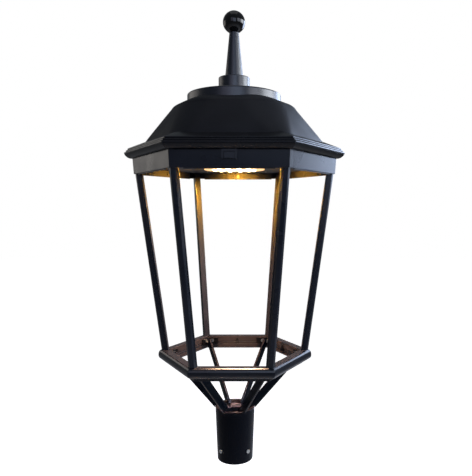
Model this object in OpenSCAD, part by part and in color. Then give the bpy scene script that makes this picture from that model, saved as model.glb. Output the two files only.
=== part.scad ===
// Six-sided outdoor lantern for a pole top, with a hood that swings open at the back.
// Millimetres, +Z up, origin at the middle of the sleeve's lower face, front towards -Y.

/* [Sleeve] */
// Outer radius of the sleeve at its foot
sleeve_foot_r = 39.4; // [35:0.2:44]
// Outer radius of the sleeve at its top
sleeve_top_r = 43.8; // [41:0.2:50]
// Height of the sleeve
sleeve_h = 118; // [105:1:140]
// Radius of the socket for the pole
socket_r = 31; // [26:0.5:33]
// Depth of the recess in the sleeve's top
recess_d = 10; // [6:0.5:14]
// Thickness of the web that stops the pole
web_t = 10; // [6:1:12]
// Radius of the cable hole in the web
cable_hole_r = 18; // [10:1:20]
// Radius of the recess above the web
recess_r = 37.8; // [32:0.2:40]
// Radius of a set screw
set_screw_r = 4; // [3:0.5:5]
// Height of the set screws above the foot
set_screw_z = 26; // [20:1:60]
// How far a set screw stands out of the sleeve
set_screw_proud = 3; // [1:0.5:6]

/* [Arms] */
// Thickness of an arm
arm_t = 5; // [4:0.5:8]
// How far an arm's foot reaches past the sleeve's rim
arm_hook = 2; // [1:0.2:4]
// Depth of the hook below the sleeve's rim
arm_hook_h = 3; // [1:0.5:6]
// Radius of the inner corner of an arm's foot
arm_toe_r = 28; // [24:0.5:32]
// Radius of the upper corner of an arm's foot
arm_heel_r = 24; // [20:0.5:27]
// Width of an arm's plate
arm_w = 17.6; // [12:0.2:20]
// Depth of an arm's head where it meets its bracket
arm_head_h = 13; // [10:0.5:18]

/* [Lower ring] */
// Half width across the flats of the ring's opening
ring_flat = 126; // [120:0.5:132]
// Half width across the flats of the ring's nose
ring_nose_flat = 148; // [144:0.2:156]
// Half width across the flats of the ring's skirt
ring_skirt_flat = 140.4; // [136:0.2:142]
// Height of the ring's top face
ring_top_z = 245.2; // [230:0.2:270]
// Height of the ring's section
ring_h = 30; // [25:0.2:34]
// How far the skirt ends above the inner wall's foot
ring_skirt_up = 7; // [0:0.2:8]
// Thickness of the skirt and of the top wall
ring_wall = 3.2; // [2.5:0.1:4]
// Thickness of the inner wall
ring_inner_wall = 4.6; // [4:0.1:6]

/* [Corner brackets] */
// Thickness of a bracket's wings
bracket_t = 3; // [2:0.5:5]
// Height of a bracket
bracket_h = 13; // [8:0.5:15]
// Reach of a bracket's wings, square to the corner's radius
bracket_reach = 21; // [15:0.5:30]
// Distance of a bracket's screws from the corner along the wall
bracket_screw_x = 10.5; // [10:0.5:20]
// Width of a pane clip
clip_w = 8; // [6:0.5:14]
// Height of a pane clip
clip_h = 16; // [10:0.5:16]
// Thickness of a pane clip
clip_t = 2; // [1:0.5:3]

/* [Posts] */
// Distance of a post's ridge inside the corner of the ring's nose
post_foot_in = 7.4; // [5.5:0.1:9]
// Distance of a post's ridge inside the corner of the band's foot
post_head_in = 3.4; // [3:0.1:8]
// Width of a post
post_w = 14; // [12:0.5:18]
// Depth of a post from its ridge to its inner face
post_d = 16; // [14:0.5:20]
// Distance of the side grooves from the inner face
post_groove_in = 2.6; // [2:0.1:6]
// Width of the side grooves
post_groove_w = 1.6; // [1:0.1:4]
// Depth of the side grooves
post_groove_d = 1.2; // [0.5:0.1:3]

/* [Band] */
// Corner radius of the band at its top
band_r = 223.2; // [200:0.2:246]
// How much smaller the corner radius is at the band's foot
band_draft = 2.6; // [0:0.2:4]
// Thickness of the band at its foot
band_wall = 2.6; // [2:0.1:3.5]
// Height of the band's lower edge
band_foot_z = 634.3; // [600:0.1:660]
// Height of the band
band_h = 33.7; // [32:0.1:45]
// Width of the band's inward lip
band_lip = 12; // [11:0.5:14]

/* [Gear tray and LED unit] */
// Height of the tray's plate above the band's lower edge
tray_rise = 13.7; // [12:0.1:18]
// Thickness of the tray's sheet
tray_t = 2; // [1.5:0.1:3]
// Depth of the tray's folded edge below the plate
tray_edge_h = 15.5; // [10:0.5:16]
// Gap between the tray's folded edge and the band's corner
tray_edge_gap = 24; // [18:1:40]
// Radius of the LED board
led_board_r = 62; // [50:1:80]
// Thickness of the LED board
led_board_t = 1.6; // [1:0.2:3]
// Radius of the lens plate
led_lens_r = 66; // [55:1:85]
// Thickness of the lens plate
led_lens_t = 3.4; // [2:0.2:8]
// Radius of the heat sink
sink_r = 58; // [50:1:80]
// Height of the heat sink
sink_h = 24; // [15:1:40]
// Number of fins on the heat sink
sink_fins = 9; // [5:2:11]
// Length of the driver
driver_l = 150; // [100:1:180]
// Width of the driver
driver_w = 44; // [35:1:60]
// Height of the driver
driver_h = 32; // [25:1:40]
// Distance of the driver from the axis
driver_y = 102; // [90:1:110]
// Distance of the cable gland in front of the axis
gland_y = 110; // [90:1:125]
// Radius of the cable gland's thread
gland_r = 8; // [6:0.5:10]
// Length of the terminal block
block_l = 40; // [30:1:60]
// Length of the screws in the posts' ends
post_screw_l = 15; // [10:1:20]

/* [Canopy rim] */
// Overhang of the rim's tip past the band's corner
rim_over = 18.3; // [17:0.1:24]
// Height of the rim's tip above its underside
rim_tip_h = 11.5; // [10:0.5:13]
// Reach of the flat underside past the band's corner
rim_under_over = 5.8; // [4:0.1:8]
// Distance of the rim's opening inside the band's corner
rim_open_in = 18.2; // [15:0.1:22]
// Number of beads above the rim's tip
rim_beads = 3; // [2:1:4]
// Radius of a bead
rim_bead_r = 2.1; // [1.5:0.1:2.6]
// Step in from bead to bead
rim_bead_in = 4; // [3:0.1:5]
// Rise from bead to bead
rim_bead_up = 4.3; // [3.5:0.1:5]
// Rise of the rim's top for each millimetre inwards
rim_slope = 0.3625; // [0.25:0.0025:0.45]
// Height of the hood's seat above the rim's underside
rim_seat_h = 29; // [27:0.5:31]
// Thickness of the ledge that carries the hood
rim_ledge_t = 7; // [5:0.5:9]
// Width of the ledge that carries the hood
rim_ledge_w = 16; // [13:0.5:19]

/* [Hood] */
// Distance of the hood's foot inside the rim's tip, across the flats
hood_foot_in = 33.1; // [31:0.1:37]
// Corner radius of the hood's foot
hood_foot_round = 68; // [60:1:80]
// Corner radius of the hood's flanks
hood_round = 50; // [35:1:60]
// Thickness of the hood's wall, measured level
hood_wall = 6; // [4:0.5:8]
// Height of the hood's flank above its seat
hood_flank_h = 71; // [60:0.5:80]
// Step in of the flank for each millimetre of rise
hood_lean = 0.75; // [0.6:0.01:0.85]
// Rise of the shoulder above the flank
hood_shoulder_h = 18; // [12:0.5:24]
// Reach of the shoulder's top past the cap plate
hood_crown_over = 2.4; // [1.6:0.1:8]
// Rise of the corners from the shoulder's top to the cap
hood_crown_rise = 8; // [4:0.5:10]
// Depth of the cap's seat below the shoulder's top
cap_seat_d = 2.6; // [1:0.2:4]
// Thickness of the hood's top
hood_top_t = 6; // [4:0.5:9]

/* [Cap and finial] */
// Radius of the cap plate
cap_r = 101.2; // [95:0.2:102]
// Height of the cap plate
cap_h = 20.6; // [15:0.2:26]
// Radius of the finial's drum
drum_r = 33.7; // [28:0.1:40]
// Height of the finial's drum
drum_h = 37.6; // [25:0.1:50]
// Radius of the stem at its foot
stem_foot_r = 19.6; // [16:0.2:26]
// Radius of the stem at its top
stem_top_r = 10; // [8:0.2:14]
// Height of the stem
stem_h = 96; // [70:0.2:120]
// Radius of the ball
ball_r = 24; // [18:0.2:32]
// Height of the ball above the stem's foot
ball_rise = 118.3; // [90:0.1:150]
// Radius of the tie rod
rod_r = 5; // [4:0.5:6]

/* [Hinge and catch] */
// Distance of the hinge's axis behind the band
hinge_out = 22.7; // [22:0.1:30]
// Distance of the hinge's axis below the band's top
hinge_down = 6; // [5:0.5:9]
// Radius of the hinge's knuckles
knuckle_r = 6; // [5:0.5:7]
// Radius of the hinge's pin
pin_r = 3; // [2:0.5:4]
// Width of the hinge
hinge_w = 120; // [90:1:150]
// Width of the moving leaf
leaf_w = 43.4; // [35:0.2:60]
// Swing of the hood
swing = 80; // [60:1:90]
// Width of the fork
fork_w = 29; // [24:0.5:40]
// Width of each of the fork's legs
fork_leg_w = 4; // [3:0.5:6]
// Reach of the fork below the canopy
fork_h = 18; // [12:0.5:24]
// Thickness of the fork
fork_t = 2.5; // [1.5:0.1:4]

/* [Clearances] */
// Radial clearance of the hinge's pin
pin_gap = 0.05; // [0.01:0.01:0.1]
// Radial clearance round screws and the rod
screw_gap = 0.3; // [0.2:0.05:0.5]
// Side clearance between parts that slide past each other
side_gap = 0.3; // [0.2:0.05:0.6]

/* [Hidden] */
$fn = 96;
flat = cos(30);
lap = 1;
web_top = sleeve_h - recess_d;
web_z = web_top - web_t;
ring_foot_z = ring_top_z - ring_h;
post_foot_r = ring_nose_flat / flat - post_foot_in;
bracket_flat = ring_flat - bracket_t;
bracket_z = ring_top_z - 3.5 - bracket_h;
arm_head_top = bracket_z + bracket_h - 2;
arm_end_r = bracket_flat / flat;
arm_foot_r = sleeve_top_r + arm_hook;
arm_foot_z = sleeve_h - arm_hook_h;
arm_slope = (arm_head_top - arm_head_h - arm_foot_z) / (arm_end_r + lap - arm_foot_r);
arm_rise = arm_w * sqrt(1 + arm_slope * arm_slope);
band_foot_r = band_r - band_draft;
post_head_r = band_foot_r - post_head_in;
lean = atan((post_head_r - post_foot_r) / (band_foot_z - ring_top_z));
band_flat = band_r * flat;
band_in_flat = band_foot_r * flat - band_wall;
band_in_r = band_in_flat / flat;
band_top_z = band_foot_z + band_h;
tray_z = band_foot_z + tray_rise;
tray_top = tray_z + tray_t;
edge_half = band_in_r / 2 - tray_edge_gap;
edge_screw_z = tray_z - tray_edge_h / 2 - 1;
m4_r = 2;
m4_head_r = 3.4;
m4_head_h = 3;
m5_r = 2.5;
m5_head_r = 4.2;
m5_head_h = 3;
foot_screw_r = (ring_skirt_flat - ring_wall - 2.2) / flat;
ring_channel_top = ring_top_z - 2 * ring_wall;
head_screw_r = post_head_r + (tray_z - band_foot_z) * tan(lean) - post_d / 2 - 1;
rim_tip_z = band_top_z + rim_tip_h;
rim_r = band_r + rim_over;
rim_under_r = band_r + rim_under_over;
rim_open_r = band_r - rim_open_in;
hood_foot_flat = rim_r * flat - hood_foot_in;
rim_ledge_flat = hood_foot_flat - rim_ledge_w;
hood_crown_flat = cap_r + hood_crown_over;
bead_r0 = rim_r - rim_bead_r - (rim_beads - 1) * rim_bead_in;
bead_z0 = rim_tip_z + 0.3 + (rim_beads - 1) * rim_bead_up;
slope_r = bead_r0 + rim_bead_r * cos(80);
slope_z = bead_z0 + rim_bead_r * sin(80);
seat_z = band_top_z + rim_seat_h;
shoulder_z = seat_z + hood_flank_h;
crown_z = shoulder_z + hood_shoulder_h;
cap_z = crown_z - cap_seat_d;
hood_in_z = cap_z - hood_top_t;
cap_top = cap_z + cap_h;
drum_top = cap_top + drum_h;
stem_top = drum_top + stem_h;
ball_z = drum_top + ball_rise;
arc_n = 8;
shell_screw_flat = hood_foot_flat - 8;
gasket_flat = band_in_flat - 6;
gasket_w = 4;
gasket_h = 2.5;
hinge_y = band_flat + hinge_out;
hinge_z = band_top_z - hinge_down;
leaf_y = hinge_y - 2;
leaf_t = 2.6;
heel_t = 5;
heel_l = 13;
leaf_screw_z = rim_tip_z - 4.5;
keeper_w = fork_w - 2 * fork_leg_w - 2 * side_gap;
catch_y = band_flat + side_gap;
black = "#26272a";
steel = "#b9bbbd";
alloy = "#9b9da0";
plastic = "#d8d8d4";

// Turns its children to corner k of the six
module corner(k) rotate([0, 0, 60 * (k - 1)]) children();

// Turns its children to side k of the six, with the side's outward direction along X
module side(k) rotate([0, 0, 60 * k - 30]) children();

// Flat hexagon with the given half width across its flats
module hexagon(half) circle(r = half / flat, $fn = 6);

// Screw with its head on the XY plane, head towards +Z and shank towards -Z
module screw(r, shank, head_r, head_h) {
  difference() {
    union() {
      translate([0, 0, -shank]) cylinder(r = r, h = shank + lap);
      cylinder(r = head_r, h = head_h);
    }
    translate([0, 0, head_h / 2]) cylinder(r = head_r * 0.55, h = head_h, $fn = 6);
  }
}

// Distance of the band's outer face from the axis at height z
function band_face(z) = (band_foot_r + band_draft * (z - band_foot_z) / band_h) * flat;

// Cylinder along X through the point (y, z)
module rod_x(r, x0, x1, y, z) translate([x0, y, z]) rotate([0, 90, 0]) cylinder(r = r, h = x1 - x0);

// Outline in the YZ plane carried along X
module along_x(x0, x1) translate([x0, 0, 0]) rotate([90, 0, 90]) linear_extrude(x1 - x0) children();

// Sleeve that slips over the pole's end
module spigot_sleeve() color(black) difference() {
  rotate_extrude() polygon([
    [socket_r, 0], [sleeve_foot_r - 1, 0], [sleeve_foot_r, 1], [sleeve_top_r, sleeve_h - 1],
    [sleeve_top_r - 1, sleeve_h], [recess_r, sleeve_h], [recess_r, web_top],
    [cable_hole_r, web_top], [cable_hole_r, web_z], [socket_r, web_z]
  ]);
  for (k = [0:3]) rotate([0, 0, 45 + 90 * k]) translate([0, 0, set_screw_z]) rotate([0, 90, 0])
    cylinder(r = set_screw_r + screw_gap, h = sleeve_top_r + lap);
}

// Four hexagon socket set screws that clamp the pole
module sleeve_set_screws() color(steel) {
  r_out = sleeve_foot_r + (sleeve_top_r - sleeve_foot_r) * set_screw_z / sleeve_h + set_screw_proud;
  for (k = [0:3]) rotate([0, 0, 45 + 90 * k]) translate([0, 0, set_screw_z]) rotate([0, 90, 0])
    difference() {
      translate([0, 0, socket_r + 0.2]) cylinder(r = set_screw_r, h = r_out - socket_r - 0.2);
      translate([0, 0, r_out - 2.5]) cylinder(r = set_screw_r * 0.55, h = 5, $fn = 6);
    }
}

// One flat arm, notched over the sleeve's rim, its head pointed to fill the bracket's corner
module arm(k) color(black) intersection() {
  corner(k) translate([0, arm_t / 2, 0]) rotate([90, 0, 0]) linear_extrude(arm_t) polygon([
    [arm_toe_r, web_top], [recess_r - side_gap, web_top], [recess_r - side_gap, sleeve_h],
    [sleeve_top_r + side_gap, sleeve_h], [sleeve_top_r + side_gap, arm_foot_z],
    [arm_foot_r, arm_foot_z], [arm_end_r + lap, arm_head_top - arm_head_h],
    [arm_end_r + lap, arm_head_top],
    [arm_foot_r + (arm_head_top - arm_foot_z - arm_rise) / arm_slope, arm_head_top],
    [arm_heel_r, arm_foot_z + arm_rise - (arm_foot_r - arm_heel_r) * arm_slope]
  ]);
  linear_extrude(ring_top_z) hexagon(bracket_flat);
}
module arm_1() arm(1);
module arm_2() arm(2);
module arm_3() arm(3);
module arm_4() arm(4);
module arm_5() arm(5);
module arm_6() arm(6);

// Hexagonal ring with a rounded nose, a skirt, a channel below and grooves inside
module lower_ring() color(black) difference() {
  rotate_extrude($fn = 6) polygon([for (p = [
    [ring_flat, ring_top_z], [ring_nose_flat - 5.8, ring_top_z],
    [ring_nose_flat - 3.6, ring_top_z - 1], [ring_nose_flat - 1.6, ring_top_z - 3.5],
    [ring_nose_flat - 0.4, ring_top_z - 7],
    [ring_nose_flat, ring_top_z - 10.5], [ring_nose_flat - 0.1, ring_top_z - 14],
    [ring_nose_flat - 0.9, ring_top_z - 17], [ring_nose_flat - 2.6, ring_top_z - 19.2],
    [ring_nose_flat - 5.2, ring_top_z - 20.4], [ring_skirt_flat, ring_top_z - 20.9],
    [ring_skirt_flat, ring_foot_z + ring_skirt_up],
    [ring_skirt_flat - ring_wall, ring_foot_z + ring_skirt_up],
    [ring_skirt_flat - ring_wall, ring_channel_top],
    [ring_flat + ring_inner_wall, ring_channel_top], [ring_flat + ring_inner_wall, ring_foot_z],
    [ring_flat + 2.8, ring_foot_z], [ring_flat + 1, ring_foot_z + 2.4],
    [ring_flat + 1, ring_top_z - 19.8], [ring_flat + 2.2, ring_top_z - 19.2],
    [ring_flat + 2.2, ring_top_z - 18], [ring_flat + 0.5, ring_top_z - 17.4],
    [ring_flat + 0.5, ring_top_z - 14.6], [ring_flat + 1.8, ring_top_z - 14.1],
    [ring_flat + 1.8, ring_top_z - 13], [ring_flat, ring_top_z - 12.5]
  ]) [p[0] / flat, p[1]]]);
  for (k = [1:6]) {
    corner(k) translate([foot_screw_r, 0, 0]) {
      translate([0, 0, ring_foot_z - lap])
        cylinder(r = m4_head_r + screw_gap, h = ring_channel_top - ring_foot_z + lap);
      cylinder(r = m4_r + screw_gap, h = ring_top_z + lap);
    }
    for (s = [-1, 1]) side(k)
      translate([ring_flat - lap, s * (ring_flat / flat / 2 - bracket_screw_x), bracket_z + bracket_h / 2])
      rotate([0, 90, 0]) cylinder(r = m5_r + screw_gap, h = ring_inner_wall + 2 * lap);
  }
}

// Angle bracket in one corner of the ring
module foot_bracket(k) color(black) difference() {
  corner(k) translate([0, 0, bracket_z]) linear_extrude(bracket_h) intersection() {
    difference() {
      hexagon(ring_flat);
      hexagon(bracket_flat);
    }
    translate([ring_flat / 2, -bracket_reach]) square([ring_flat, 2 * bracket_reach]);
  }
  for (s = [-1, 1]) rotate([0, 0, 60 * (k - 1) + 30 * s]) {
    y = -s * (ring_flat / flat / 2 - bracket_screw_x);
    translate([bracket_flat - lap, y, bracket_z + bracket_h / 2]) rotate([0, 90, 0])
      cylinder(r = m5_r + screw_gap, h = bracket_t + 2 * lap);
  }
}
module foot_bracket_1() foot_bracket(1);
module foot_bracket_2() foot_bracket(2);
module foot_bracket_3() foot_bracket(3);
module foot_bracket_4() foot_bracket(4);
module foot_bracket_5() foot_bracket(5);
module foot_bracket_6() foot_bracket(6);

// Twelve screws that hold the brackets to the ring
module bracket_screws() color(steel) for (k = [1:6]) for (s = [-1, 1]) side(k)
  translate([bracket_flat, s * (ring_flat / flat / 2 - bracket_screw_x), bracket_z + bracket_h / 2])
  rotate([0, -90, 0]) screw(m5_r, bracket_t + ring_inner_wall + 1, m5_head_r, m5_head_h);

// Six slotted clips at the middle of the ring's inner walls
module pane_clips() color(black) for (k = [1:6]) side(k)
  translate([ring_flat - clip_t, 0, ring_top_z - 4.5 - clip_h]) difference() {
    rotate([90, 0, 90]) linear_extrude(clip_t) polygon([
      [-clip_w / 2, 0], [clip_w / 2, 0], [clip_w / 2, clip_h * 0.6],
      [clip_w * 0.3, clip_h], [-clip_w * 0.3, clip_h], [-clip_w / 2, clip_h * 0.6]
    ]);
    translate([-lap, -clip_w * 0.2, -lap]) cube([clip_t + 2 * lap, clip_w * 0.4, clip_h * 0.7]);
  }

// One corner post: ridge outside, grooves along its sides, trimmed to the ring and the band
module post(k) color(black) difference() {
  w = post_w / 2;
  v = w * tan(30);
  g = post_d - post_groove_in;
  intersection() {
    corner(k) translate([post_foot_r, 0, ring_top_z]) rotate([0, lean, 0])
      translate([0, 0, -20]) linear_extrude(band_top_z - ring_top_z + 20) polygon([
        [0, 0], [-v, w], [-g + post_groove_w, w], [-g + post_groove_w, w - post_groove_d],
        [-g, w - post_groove_d], [-g, w], [-post_d, w],
        [-post_d, -w], [-g, -w], [-g, -w + post_groove_d], [-g + post_groove_w, -w + post_groove_d],
        [-g + post_groove_w, -w], [-v, -w]
      ]);
    translate([0, 0, ring_top_z]) linear_extrude(tray_z - ring_top_z) hexagon(band_in_flat);
  }
  corner(k) translate([foot_screw_r, 0, ring_top_z - lap])
    cylinder(r = m4_r + screw_gap, h = post_screw_l + 2 * lap);
  corner(k) translate([head_screw_r, 0, tray_z - post_screw_l - lap])
    cylinder(r = m5_r + screw_gap, h = post_screw_l + 2 * lap);
}
module post_1() post(1);
module post_2() post(2);
module post_3() post(3);
module post_4() post(4);
module post_5() post(5);
module post_6() post(6);

// Six screws that pull the posts down on the ring
module post_foot_screws() color(steel) for (k = [1:6]) corner(k)
  translate([foot_screw_r, 0, ring_channel_top]) rotate([180, 0, 0])
  screw(m4_r, ring_top_z - ring_channel_top + post_screw_l, m4_head_r, m4_head_h);

// Band, slightly wider at its top, with an inward lip that carries the canopy
module top_band() color(black) difference() {
  rotate_extrude($fn = 6) polygon([
    [band_in_r, band_foot_z], [band_foot_r, band_foot_z], [band_r, band_top_z],
    [band_r - band_lip / flat, band_top_z], [band_r - band_lip / flat, band_top_z - band_wall],
    [band_in_r, band_top_z - band_wall]
  ]);
  for (k = [1:6]) side(k) translate([band_in_flat - lap, 0, edge_screw_z]) rotate([0, 90, 0])
    cylinder(r = m4_r + screw_gap, h = lap + 2);
  for (x = [-0.42, -0.17, 0.17, 0.42]) translate([x * hinge_w, band_in_flat + lap, edge_screw_z])
    rotate([-90, 0, 0]) cylinder(r = m5_r + screw_gap, h = band_wall + 5 * lap);
}

// Folded tray that closes the band and carries the gear
module gear_tray() color(black) difference() {
  union() {
    translate([0, 0, tray_z]) linear_extrude(tray_t) hexagon(band_in_flat);
    for (k = [1:6]) side(k)
      translate([band_in_flat - tray_t, -edge_half, tray_z - tray_edge_h])
      cube([tray_t, 2 * edge_half, tray_edge_h + lap]);
  }
  for (k = [1:6]) {
    side(k) translate([band_in_flat - 3 * tray_t, 0, edge_screw_z]) rotate([0, 90, 0])
      cylinder(r = m4_r + screw_gap, h = 4 * tray_t);
    corner(k) translate([head_screw_r, 0, tray_z - lap]) cylinder(r = m5_r + screw_gap, h = tray_t + 2 * lap);
  }
  for (x = [-1, 1]) translate([x * (driver_l / 2 - 6), driver_y, tray_z - lap])
    cylinder(r = m4_r + screw_gap, h = tray_t + 2 * lap);
  translate([0, -gland_y, tray_z - lap]) cylinder(r = gland_r + screw_gap, h = tray_t + 2 * lap);
}

// Six screws down through the tray into the posts' heads
module post_head_screws() color(steel) for (k = [1:6]) corner(k)
  translate([head_screw_r, 0, tray_top]) screw(m5_r, tray_t + post_screw_l, m5_head_r, m5_head_h);

// Six screws through the tray's folded edges into the band
module tray_screws() color(steel) for (k = [1:6]) side(k)
  translate([band_in_flat - tray_t, 0, edge_screw_z]) rotate([0, -90, 0])
  screw(m4_r, tray_t + 1.6, m4_head_r, m4_head_h * 0.7);

// Round board under the tray
module led_board() color("#e9e6da") translate([0, 0, tray_z - led_board_t])
  cylinder(r = led_board_r, h = led_board_t);

// Clear plate that covers the board
module led_lens_plate() color("#f4f2e8") translate([0, 0, tray_z - led_board_t - led_lens_t])
  cylinder(r = led_lens_r, h = led_lens_t);

// Finned heat sink on the tray above the board
module heat_sink() color(alloy) difference() {
  translate([0, 0, tray_top]) cylinder(r = sink_r, h = sink_h);
  for (i = [0:sink_fins - 2])
    translate([-sink_r - lap, (i - (sink_fins - 2) / 2) * 2 * sink_r / sink_fins - sink_r / sink_fins / 2,
      tray_top + 5]) cube([2 * sink_r + 2 * lap, sink_r / sink_fins, sink_h]);
}

// Driver with a foot at each end
module led_driver() color(plastic) difference() {
  union() {
    translate([-driver_l / 2 + 12, driver_y - driver_w / 2, tray_top])
      cube([driver_l - 24, driver_w, driver_h]);
    translate([-driver_l / 2, driver_y - driver_w / 4, tray_top]) cube([driver_l, driver_w / 2, 3]);
  }
  for (x = [-1, 1]) translate([x * (driver_l / 2 - 6), driver_y, tray_top - lap])
    cylinder(r = m4_r + screw_gap, h = 6);
}

// Two screws that hold the driver's feet
module driver_screws() color(steel) for (x = [-1, 1])
  translate([x * (driver_l / 2 - 6), driver_y, tray_top + 3])
  screw(m4_r, tray_t + 6, m4_head_r, m4_head_h);

// Three-pole terminal block
module terminal_block() color(plastic) difference() {
  x0 = -gland_y / 2;
  y0 = 16 - gland_y;
  translate([x0 - block_l / 2, y0 - block_l / 5, tray_top]) cube([block_l, block_l * 0.4, block_l * 0.45]);
  for (x = [-1, 0, 1]) translate([x0 + x * block_l / 3, y0, tray_top + block_l * 0.2])
    cylinder(r = block_l * 0.055, h = block_l);
}

// Gland for the supply cable in the tray's front half
module cable_gland() color(plastic) translate([0, -gland_y, 0]) difference() {
  union() {
    translate([0, 0, tray_z - gland_r]) cylinder(r = gland_r, h = 2 * gland_r + tray_t);
    translate([0, 0, tray_z - gland_r * 0.75]) cylinder(r = gland_r * 1.5, h = gland_r * 0.75, $fn = 6);
    translate([0, 0, tray_top]) cylinder(r = gland_r * 1.5, h = gland_r * 0.75, $fn = 6);
  }
  translate([0, 0, tray_z - 2 * gland_r]) cylinder(r = gland_r * 0.56, h = 5 * gland_r);
}

// Fixed leaf: back plate, stop bar and the two outer knuckles
module hinge_leaf_fixed() color(black) difference() {
  plate_z = [band_foot_z + 1.7, band_top_z - 4];
  stop_h = [hinge_z - 15, hinge_z - 8];
  stop_y = [for (z = stop_h)
    hinge_y - (heel_t / 2 + side_gap + (z - hinge_z) * cos(swing)) / sin(swing)];
  union() {
    along_x(-hinge_w / 2, hinge_w / 2) polygon([
      [band_face(plate_z[0]), plate_z[0]], [band_flat + leaf_t, plate_z[0]],
      [band_flat + leaf_t, plate_z[1]], [band_face(plate_z[1]), plate_z[1]]
    ]);
    along_x(-hinge_w / 2, hinge_w / 2) polygon([
      [band_flat + 2, stop_h[0]], [stop_y[0], stop_h[0]], [stop_y[1], stop_h[1]], [band_flat + 2, stop_h[1]]
    ]);
    for (s = [-1, 1]) {
      x0 = s > 0 ? leaf_w / 2 + side_gap : -hinge_w / 2;
      x1 = s > 0 ? hinge_w / 2 : -leaf_w / 2 - side_gap;
      along_x(x0, x1) polygon([
        [band_flat + 2, stop_h[1] - lap], [stop_y[1] - 2, stop_h[1] - lap],
        [hinge_y + 2, hinge_z - 4], [hinge_y, hinge_z + 3], [band_flat + 2, hinge_z + 2]
      ]);
      rod_x(knuckle_r, x0, x1, hinge_y, hinge_z);
    }
  }
  rod_x(pin_r + pin_gap, -hinge_w, hinge_w, hinge_y, hinge_z);
  for (x = [-0.42, -0.17, 0.17, 0.42]) translate([x * hinge_w, band_in_flat, edge_screw_z])
    rotate([-90, 0, 0]) cylinder(r = m5_r + screw_gap, h = 12);
}

// Four short screws that hold the fixed leaf to the band
module hinge_screws() color(steel) for (x = [-0.42, -0.17, 0.17, 0.42])
  translate([x * hinge_w, band_flat + leaf_t, edge_screw_z]) rotate([-90, 0, 0])
  screw(m5_r, band_flat + leaf_t - band_in_flat - lap - 0.3, m5_head_r, m5_head_h);

// Hinge pin with a head at each end
module hinge_pin() color(steel) {
  rod_x(pin_r, -hinge_w / 2 - 2, hinge_w / 2 + 2, hinge_y, hinge_z);
  for (s = [-1, 1]) let (x = s * (hinge_w / 2 + 1.2)) rod_x(pin_r + 2, x - 1, x + 1, hinge_y, hinge_z);
}

// Block on the band's front that the fork slips over
module catch_keeper() color(black) {
  z = [band_top_z - fork_h + 1, band_top_z - 5];
  along_x(-keeper_w / 2, keeper_w / 2) polygon([
    [-band_face(z[0]), z[0]], [-band_flat - 3.6, z[0]], [-band_flat - 3.6, z[1]], [-band_face(z[1]), z[1]]
  ]);
}

// Outline of the rim's section, from the opening out to the tip and up to the ledge
rim_section = concat(
  [[rim_open_r, band_top_z], [rim_under_r, band_top_z], [rim_under_r + 3, band_top_z + 1],
    [rim_r - 6, band_top_z + 3.2], [rim_r - 3, band_top_z + 6], [rim_r - 1, band_top_z + 8.8],
    [rim_r, rim_tip_z]],
  [for (i = [0:rim_beads - 1]) for (a = [i == 0 ? 15 : -50:32.5:i < rim_beads - 1 ? 80 : 60])
    let (r = rim_r - rim_bead_r - i * rim_bead_in, z = rim_tip_z + 0.3 + i * rim_bead_up)
    [r + rim_bead_r * cos(a), z + rim_bead_r * sin(a)]],
  [[slope_r, slope_z], [rim_ledge_flat / flat, slope_z + (slope_r - rim_ledge_flat / flat) * rim_slope],
    [rim_ledge_flat / flat, seat_z - rim_ledge_t], [rim_open_r, band_top_z + 14]]
);

// Canopy rim: sharp hexagon with beads, a rebate for the hood and a groove for the gasket
module canopy_rim() color(black) difference() {
  rotate_extrude($fn = 6) polygon(rim_section);
  translate([0, 0, seat_z]) linear_extrude(rim_seat_h)
    polygon([for (p = level(hood_foot_flat + 0.3, hood_foot_round + 0.3, 0)) [p[0], p[1]]]);
  translate([0, 0, band_top_z - lap]) linear_extrude(gasket_h + lap) difference() {
    hexagon(gasket_flat + gasket_w);
    hexagon(gasket_flat);
  }
  for (k = [1:6]) side(k) translate([shell_screw_flat, 0, seat_z - rim_ledge_t - lap - 4]) {
    cylinder(r = m5_r + screw_gap, h = 20);
    cylinder(r = m5_head_r + screw_gap, h = 5 + lap);
  }
  for (x = [-1, 1]) translate([x * leaf_w * 0.3, rim_open_r * flat + 10, leaf_screw_z]) rotate([-90, 0, 0])
    cylinder(r = m5_r + screw_gap, h = rim_over + rim_open_in);
  translate([-fork_w / 2, -catch_y - fork_t, band_top_z - lap]) cube([fork_w, fork_t, 11]);
  for (x = [-1, 1]) translate([x * fork_w * 0.25, -catch_y - fork_t - 3, band_top_z + 6]) rotate([-90, 0, 0])
    cylinder(r = 1.5 + screw_gap, h = 30);
}

// Rubber gasket between the rim and the band's lip
module canopy_gasket() color("#1a1a1a") translate([0, 0, band_top_z]) linear_extrude(gasket_h) difference() {
  hexagon(gasket_flat + gasket_w);
  hexagon(gasket_flat);
}

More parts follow.
